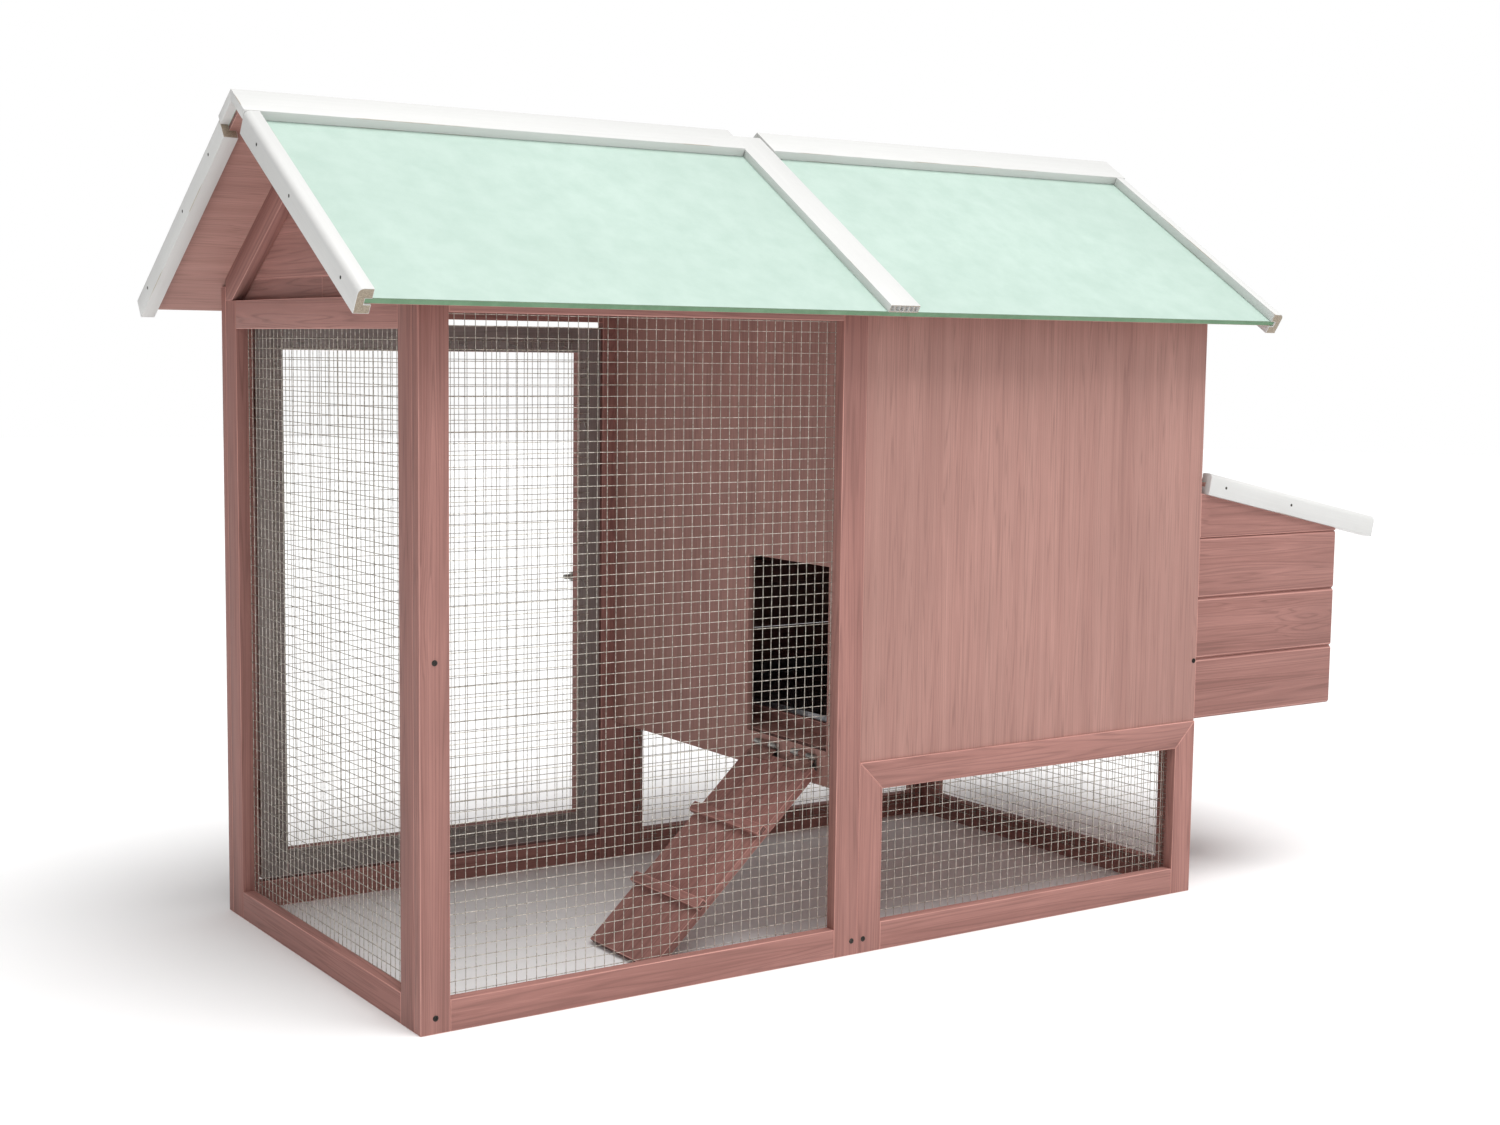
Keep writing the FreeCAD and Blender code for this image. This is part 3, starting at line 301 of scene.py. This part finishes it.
# How far sharp edges are eased, by material and, for thin pieces, by node.
EASED = {
    "stained_fir": 0.9 * MM,
    "stained_ply": 0.5 * MM,
    "white_trim": 0.7 * MM,
    "mint_sheet": 0.2 * MM,
    "zinc_steel": 0.25 * MM,
    "tray_steel": 0.2 * MM,
}
THIN_WALLED = {"centre_strips": 0.25 * MM, "lid_trims": 0.6 * MM}
SHARP = math.radians(35)
# Triangles that turn less than this against each other are one flat face.
FLAT = math.radians(0.6)
# A face that looks along an axis by more than this counts as square to it.
END_FACE = 0.9
# Each stick's grain is shifted by up to this many metres.
GRAIN_SHIFT = 9


def solids_of(node):
    """The closed solids of a CAD node, each as its points and triangles."""
    mesh = NODES[node].data
    mesh.calc_loop_triangles()
    keys = [tuple(round(value / MICRON) for value in vertex.co) for vertex in mesh.vertices]
    found, points, faces, open_edges = [], {}, [], set()
    for triangle in mesh.loop_triangles:
        corners = [points.setdefault(keys[index], len(points)) for index in triangle.vertices]
        if len(set(corners)) < 3:
            continue
        faces.append(corners)
        for start, end in zip(corners, corners[1:] + corners[:1]):
            if (end, start) in open_edges:
                open_edges.remove((end, start))
            else:
                open_edges.add((start, end))
        if not open_edges:
            found.append(([Vector(key) * MICRON for key in points], faces))
            points, faces = {}, []
    if faces:
        found.append(([Vector(key) * MICRON for key in points], faces))
    return found


class Build:
    """Collects points, faces and what the materials read about them, then makes one piece."""

    def __init__(self):
        self.points, self.faces, self.grain = [], [], []
        self.edge, self.end, self.tint, self.index = [], [], [], []

    def add(self, points, faces, grain=None, edge=None, end=None, tint=0.5, index=None):
        first = len(self.points)
        self.points += [tuple(point) for point in points]
        self.grain += [tuple(place) for place in (grain or points)]
        self.faces += [[first + corner for corner in face] for face in faces]
        self.edge += edge or [0.0] * len(faces)
        self.end += end or [0.0] * len(faces)
        self.tint += [tint] * len(faces)
        self.index += index or [0] * len(faces)

    def piece(self, name, body, materials, replaced=()):
        mesh = bpy.data.meshes.new(name)
        mesh.from_pydata(self.points, [], self.faces)
        for material in materials:
            mesh.materials.append(material)
        mesh.polygons.foreach_set("material_index", self.index)
        places = mesh.attributes.new("grain", "FLOAT_VECTOR", "POINT")
        places.data.foreach_set("vector", [value for place in self.grain for value in place])
        for label, values in (("edge", self.edge), ("end", self.end), ("tint", self.tint)):
            mesh.attributes.new(label, "FLOAT", "FACE").data.foreach_set("value", values)
        mesh.polygons.foreach_set("use_smooth", [True] * len(mesh.polygons))
        mesh.set_sharp_from_angle(angle=SHARP)
        mesh.update()
        made = bpy.data.objects.new(name, mesh)
        bpy.context.scene.collection.objects.link(made)
        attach(made, body)
        if replaced:
            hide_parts(*replaced)


def eased_solid(points, faces, width):
    """The solid with its flat faces made whole and its sharp edges eased."""
    bm = bmesh.new()
    corners = [bm.verts.new(point) for point in points]
    for face in faces:
        bm.faces.new([corners[corner] for corner in face])
    bm.normal_update()
    bmesh.ops.dissolve_limit(bm, angle_limit=FLAT, verts=bm.verts[:], edges=bm.edges[:])
    bm.normal_update()
    longest = max(bm.edges, key=lambda item: item.calc_length())
    along = (longest.verts[1].co - longest.verts[0].co).normalized()
    sharp = [item for item in bm.edges if len(item.link_faces) == 2 and item.calc_face_angle(0) > SHARP]
    eased = set()
    if sharp and width:
        made = bmesh.ops.bevel(
            bm, geom=sharp, offset=width, segments=2, profile=0.5, affect="EDGES", clamp_overlap=True
        )
        eased = set(made["faces"])
    bm.verts.index_update()
    result = (
        [vertex.co.copy() for vertex in bm.verts],
        [[vertex.index for vertex in face.verts] for face in bm.faces],
        [1.0 if face in eased else 0.0 for face in bm.faces],
        [face.normal.copy() for face in bm.faces],
        along,
    )
    bm.free()
    return result


def grain_places(points, along):
    """Places measured along and across the grain, shifted so that no two sticks look alike."""
    side = sideways(along, ALONG_X)
    third = along.cross(side)
    shift = Vector([draw.uniform(0, GRAIN_SHIFT) for _ in range(3)])
    return [Vector((point.dot(along), point.dot(side), point.dot(third))) + shift for point in points]


def rebuild(node, second=None, choose=None):
    """A detailed piece in place of a CAD node. choose(normal) picks the faces of the second material."""
    build = Build()
    slot = SLOT_OF[node]
    width = THIN_WALLED.get(node, EASED[slot])
    for points, faces in solids_of(node):
        points, faces, edge, normals, along = eased_solid(points, faces, width)
        if node == "gable_trims":
            points = [Vector((point.x * (1 - TRIM_INSET), point.y, point.z)) for point in points]
        along = GRAIN.get(node, along)
        raw = node not in PAINTED_ENDS
        end = [
            1.0 if raw and abs(normal.dot(along)) > END_FACE and not rim else 0.0
            for normal, rim in zip(normals, edge)
        ]
        index = [1 if choose and choose(normal) else 0 for normal in normals]
        build.add(points, faces, grain_places(points, along), edge, end, draw.random(), index)
    materials = [MATERIALS[slot]] + ([second] if second else [])
    build.piece(node + "_detail", BODY_OF[node], materials, [node])


# ---- Tubes, wires and staples ----------------------------------------------------------------
def tube(build, path, radius, sides=6):
    """A round bar along a path, closed at both ends."""
    points, faces = [], []
    for step, centre in enumerate(path):
        ahead = path[min(step + 1, len(path) - 1)] - path[max(step - 1, 0)]
        ahead.normalize()
        side = sideways(ahead, ALONG_Y)
        third = ahead.cross(side)
        for turn in range(sides):
            angle = 2 * math.pi * turn / sides
            points.append(centre + (side * math.cos(angle) + third * math.sin(angle)) * radius)
    for step in range(len(path) - 1):
        for turn in range(sides):
            here, after = step * sides + turn, step * sides + (turn + 1) % sides
            faces.append([here, after, after + sides, here + sides])
    faces.append(list(range(sides))[::-1])
    faces.append(list(range(len(points) - sides, len(points))))
    build.add(points, faces)


# A wire strays sideways by WAVE, drawn in steps of WAVE_STEP or at least FEWEST_STEPS of them.
WAVE = 0.3 * MM
WAVE_STEP = 24 * MM
FEWEST_STEPS = 4
# The wave's phase is drawn from 0 to LAST_PHASE, and its radians in a metre from PACES.
LAST_PHASE = 6.28
PACES = (9, 16)
# Each wire is moved this far towards the wires that it crosses.
WELD = 0.05 * MM


def wire_mesh(node):
    """Round, slightly wavy wires in place of the CAD's square ones, pressed together where welded."""
    build = Build()
    low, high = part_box(node)
    through = 0 if high.x - low.x < high.y - low.y else 1
    middle = (low[through] + high[through]) / 2
    for points, _ in solids_of(node):
        first, last = box_of(points)
        size = last - first
        along = max(range(3), key=lambda axis: size[axis])
        across = 3 - along - through
        radius = min(size) / 2
        centre = (first + last) / 2
        centre[through] += WELD if centre[through] < middle else -WELD
        steps = max(FEWEST_STEPS, int(size[along] / WAVE_STEP))
        phase, pace = draw.uniform(0, LAST_PHASE), draw.uniform(*PACES)
        path = []
        for step in range(steps + 1):
            place = centre.copy()
            place[along] = first[along] + size[along] * step / steps
            fade = math.sin(math.pi * step / steps)
            place[across] += WAVE * fade * math.sin(phase + pace * place[along])
            path.append(place)
        tube(build, path, radius)
    build.piece(node + "_detail", BODY_OF[node], [MATERIALS["wire"]], [node])


STAPLE_PITCH = 75 * MM
STAPLE_CROWN = 10 * MM
STAPLE_WIRE = 0.55 * MM
STAPLE_MARGIN = 9 * MM
FEWEST_STAPLES = 2
# How far a staple strays along its row, in mm, and how far it leans, in degrees.
STAPLE_STRAY = 4
STAPLE_LEAN = 22


def staples(node):
    """Staples along a mesh panel's four sides, on the face towards the coop's middle."""
    build = Build()
    low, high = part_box(node)
    through = 0 if high.x - low.x < high.y - low.y else 1
    across = 1 - through
    inward = -1.0 if low[through] > 0 else 1.0
    face = high[through] if inward > 0 else low[through]
    sides = []
    for level in (low.z + STAPLE_MARGIN, high.z - STAPLE_MARGIN):
        sides.append((across, low[across], high[across], 2, level))
    for level in (low[across] + STAPLE_MARGIN, high[across] - STAPLE_MARGIN):
        sides.append((2, low.z, high.z, across, level))
    for along, start, stop, fixed, level in sides:
        count = max(FEWEST_STAPLES, int((stop - start) / STAPLE_PITCH))
        for number in range(count):
            centre = Vector((0, 0, 0))
            centre[through] = face
            stray = draw.uniform(-STAPLE_STRAY, STAPLE_STRAY) * MM
            centre[along] = start + (stop - start) * (number + 0.5) / count + stray
            centre[fixed] = level
            lean = math.radians(draw.uniform(-STAPLE_LEAN, STAPLE_LEAN))
            reach = Vector((0, 0, 0))
            reach[along] = math.cos(lean) * STAPLE_CROWN / 2
            reach[fixed] = math.sin(lean) * STAPLE_CROWN / 2
            out = Vector((0, 0, 0))
            out[through] = inward * STAPLE_WIRE
            start_leg, end_leg = centre - reach, centre + reach
            path = [start_leg - out * 2, start_leg + out, end_leg + out, end_leg - out * 2]
            tube(build, path, STAPLE_WIRE)
    build.piece(node + "_staples", BODY_OF[node], [MATERIALS["zinc_steel"]])


# ---- Screw and nail heads --------------------------------------------------------------------
# A head's rim is lower than its middle by DOME_DROP of its height, and its side is RIM_DEPTH of it deep.
DOME_DROP = 0.75
RIM_DEPTH = 0.25
# The cross in a head: half an arm's width and its reach, as shares of the radius.
CROSS_ARM, CROSS_REACH = 0.2, 0.68


def head(build, centre, normal, radius, height, recess):
    """A domed head, with a cross pressed into it unless recess is 0."""
    side = sideways(normal, ALONG_X)
    third = normal.cross(side)
    turns, circles = 24, 7
    arm, arm_reach = radius * CROSS_ARM, radius * CROSS_REACH
    points, faces = [centre + normal * (height - recess)], []
    for circle in range(1, circles + 1):
        distance = radius * circle / circles
        rise = height * (1 - DOME_DROP * (circle / circles) ** 3)
        for turn in range(turns):
            angle = 2 * math.pi * turn / turns
            across, up = distance * math.cos(angle), distance * math.sin(angle)
            pressed = recess and distance < arm_reach and min(abs(across), abs(up)) < arm
            level = rise - (recess if pressed else 0.0)
            points.append(centre + side * across + third * up + normal * level)
    points += [point - normal * height * RIM_DEPTH for point in points[-turns:]]
    for turn in range(turns):
        after = (turn + 1) % turns
        faces.append([0, 1 + turn, 1 + after])
        for circle in range(circles):
            here = 1 + circle * turns
            faces.append([here + turn, here + turns + turn, here + turns + after, here + after])
    faces.append([1 + circles * turns + turn for turn in reversed(range(turns))])
    build.add(points, faces)


FRAME_SCREW_RECESS = 0.8 * MM


def frame_screws():
    """Detailed heads in place of the CAD's frame screws, which all look to the front."""
    build = Build()
    for points, _ in solids_of("frame_screws"):
        low, high = box_of(points)
        centre = (low + high) / 2
        centre.y = high.y
        head(build, centre, Vector((0, -1, 0)), (high.x - low.x) / 2, high.y - low.y, FRAME_SCREW_RECESS)
    build.piece("frame_screws_detail", "coop", [DARK_STEEL], ["frame_screws"])


LEAF_SCREW = 2.3 * MM
LEAF_SCREW_RISE = 0.7 * MM
LEAF_SCREW_RECESS = 0.4 * MM
# Where screws are along a leaf, from its middle.
LEAF_SCREW_PLACES = (-17 * MM, 0.0, 17 * MM)
# Faces with more than this share of the largest face's area are a leaf's plates.
PLATE_SHARE = 0.6


def leaf_screws(node):
    """Screws on each hinge leaf, on the flat face at the side where its knuckle stands out."""
    build = Build()
    for points, faces in solids_of(node):
        points, faces, _, normals, along = eased_solid(points, faces, 0)
        middle = sum(points, Vector()) / len(points)
        areas = []
        for face, normal in zip(faces, normals):
            corners = [points[corner] for corner in face]
            turned = [a.cross(b) for a, b in zip(corners, corners[1:] + corners[:1])]
            area = sum(turned, Vector()).dot(normal) / 2
            centre = sum(corners, Vector()) / len(corners)
            areas.append((area, normal, centre))
        largest = max(area for area, _, _ in areas)
        plates = [item for item in areas if item[0] > largest * PLATE_SHARE]
        _, normal, centre = max(plates, key=lambda item: (middle - item[2]).dot(item[1]))
        for place in LEAF_SCREW_PLACES:
            head(build, centre + along * place, normal, LEAF_SCREW, LEAF_SCREW_RISE, LEAF_SCREW_RECESS)
    look = STAINED_STEEL if node == "ramp_hinge_leaves" else DARK_STEEL
    build.piece(node + "_screws", BODY_OF[node], [look])


NAIL = 2.0 * MM
NAIL_HEIGHT = 0.3 * MM
# Where nails are along each trim, from its top end to its bottom end.
GABLE_NAILS = (0.14, 0.44, 0.88)
LID_NAILS = (0.09, 0.48)
# The gable trims are drawn in by this share, so that their nails stay inside the CAD's box.
TRIM_INSET = 0.0004
# A trim whose direction has less Z than this lies level, and has no nails.
LEVEL_TRIM = 0.05


def trim_nails(node, places, across, inset=0.0):
    """Nail heads down the outer faces of a node's trims; across is the axis those faces look along."""
    build = Build()
    for points, faces in solids_of(node):
        points, _, _, _, along = eased_solid(points, faces, 0)
        if abs(along.z) < LEVEL_TRIM:
            continue
        down = along if along.z < 0 else -along
        low, high = box_of(points)
        middle = (low + high) / 2
        outward = Vector((0, 0, 0))
        outward[across] = 1.0 if middle[across] > 0 else -1.0
        reach = max((a - b).dot(down) for a in points for b in points)
        for place in places:
            spot = middle + down * reach * (place - 0.5)
            spot[across] = (high if outward[across] > 0 else low)[across] * (1 - inset)
            head(build, spot, outward, NAIL, NAIL_HEIGHT, 0)
    build.piece(node + "_nails", BODY_OF[node], [DARK_STEEL])


# ---- Making every piece ----------------------------------------------------------------------
# An eave's face looks down, but more along Y, and along Y by more than this.
EAVE_FACE = 0.45
EAVED = {"left_roof_decks", "right_roof_decks", "left_roof_sheets", "right_roof_sheets"}
LID_END = {"lid_board", "lid_sheet"}


def faces_eave(normal):
    return abs(normal.y) > EAVE_FACE and normal.z < 0 and abs(normal.y) > abs(normal.z)


def faces_lid_end(normal):
    return normal.x > END_FACE


def faces_forward(normal):
    return normal.y < -END_FACE


def any_face(_):
    return True


for name in sorted(NODES):
    slot_name = SLOT_OF[name]
    if slot_name == "wire":
        wire_mesh(name)
        staples(name)
    elif name == "frame_screws":
        frame_screws()
    elif name in EAVED:
        rebuild(name, EAVE_GREEN, faces_eave)
    elif name in LID_END:
        rebuild(name, EAVE_GREEN, faces_lid_end)
    elif name == "run_door_frame":
        # The door's faces that look to the front get the grey painted shade.
        rebuild(name, PAINTED_SHADE_GREY, faces_forward)
    elif name == "ramp_hinge_leaves":
        rebuild(name, STAINED_STEEL, any_face)
    else:
        rebuild(name)
for name in sorted(NODES):
    if name.endswith("hinge_leaves"):
        leaf_screws(name)
trim_nails("gable_trims", GABLE_NAILS, 0, TRIM_INSET)
trim_nails("lid_trims", LID_NAILS, 1)

# ---- Floor, light and camera -----------------------------------------------------------------
FLOOR_RADIUS = 14.0
FLOOR_SIDES = 96
FLOOR_ROUGHNESS = 0.85
FLOOR_CLOUDS = 1.5
FLOOR_TONES = linear(246, 246, 246), linear(242, 242, 242)
floor_shader = Shader("floor")
floor_place = floor_shader.nodes.new("ShaderNodeTexCoord").outputs["Object"]
floor_cloud = floor_shader.noise(floor_place, FLOOR_CLOUDS, 3.0, 0.5)
floor_colour = floor_shader.mix(floor_shader.spread(floor_cloud, 0.3, 0.7), *FLOOR_TONES)
floor_material = floor_shader.finish(floor_colour, FLOOR_ROUGHNESS)
bpy.ops.mesh.primitive_circle_add(vertices=FLOOR_SIDES, radius=FLOOR_RADIUS, fill_type="NGON")
floor = bpy.context.object
floor.name = "floor"
floor.data.materials.append(floor_material)

scene = bpy.context.scene
scene.view_settings.view_transform = "Standard"
# The camera sees a white backdrop. The light it gives is dimmer, and strongest from GLOW_FROM,
# which is above and in front.
GLOW_FROM = Vector((0.1, -0.62, 0.78)).normalized()
GLOW_WEAKEST, GLOW_STRONGEST = 0.14, 0.88
world = bpy.data.worlds.new("studio")
world.use_nodes = True
sky, sky_links = world.node_tree.nodes, world.node_tree.links
backdrop = sky["Background"]
backdrop.inputs["Color"].default_value = (1, 1, 1, 1)
backdrop.inputs["Strength"].default_value = 1.0
glow = sky.new("ShaderNodeBackground")
sky_place = sky.new("ShaderNodeTexCoord")
facing = sky.new("ShaderNodeVectorMath")
facing.operation = "DOT_PRODUCT"
facing.inputs[1].default_value = GLOW_FROM
strength = sky.new("ShaderNodeMapRange")
strength_range = (-1.0, 1.0, GLOW_WEAKEST, GLOW_STRONGEST)
for socket, amount in zip(("From Min", "From Max", "To Min", "To Max"), strength_range):
    strength.inputs[socket].default_value = amount
chooser, rays = sky.new("ShaderNodeMixShader"), sky.new("ShaderNodeLightPath")
sky_links.new(sky_place.outputs["Generated"], facing.inputs[0])
sky_links.new(facing.outputs["Value"], strength.inputs["Value"])
sky_links.new(strength.outputs["Result"], glow.inputs["Strength"])
sky_links.new(rays.outputs["Is Camera Ray"], chooser.inputs[0])
sky_links.new(glow.outputs["Background"], chooser.inputs[1])
sky_links.new(backdrop.outputs["Background"], chooser.inputs[2])
sky_links.new(chooser.outputs["Shader"], sky["World Output"].inputs["Surface"])
scene.world = world

SUN_FROM = Vector((0.12, -0.65, 1.8))
SUN_WIDTH, SUN_ENERGY = math.radians(38), 2.6
key_light = bpy.data.lights.new("key", "SUN")
key_light.angle = SUN_WIDTH
key_light.energy = SUN_ENERGY
key = bpy.data.objects.new("key", key_light)
key.rotation_mode = "QUATERNION"
key.rotation_quaternion = SUN_FROM.to_track_quat("Z", "Y")
scene.collection.objects.link(key)

CAMERA_PLACE = Vector((-1.6457, -2.3009, 0.7535))
YAW, PITCH, ROLL = math.radians(33.95), math.radians(-5.96), math.radians(0.737)
LENS, SENSOR_WIDTH = 49.2, 36.0
forward = Vector((math.sin(YAW) * math.cos(PITCH), math.cos(YAW) * math.cos(PITCH), math.sin(PITCH)))
level = Vector((math.cos(YAW), -math.sin(YAW), 0))
above = level.cross(forward)
right = level * math.cos(ROLL) + above * math.sin(ROLL)
above = right.cross(forward)
camera_data = bpy.data.cameras.new("camera")
camera_data.sensor_width = SENSOR_WIDTH
camera_data.lens = LENS
camera = bpy.data.objects.new("camera", camera_data)
turn = Matrix((right, above, -forward)).transposed().to_4x4()
camera.matrix_world = Matrix.Translation(CAMERA_PLACE) @ turn
scene.collection.objects.link(camera)
scene.camera = camera
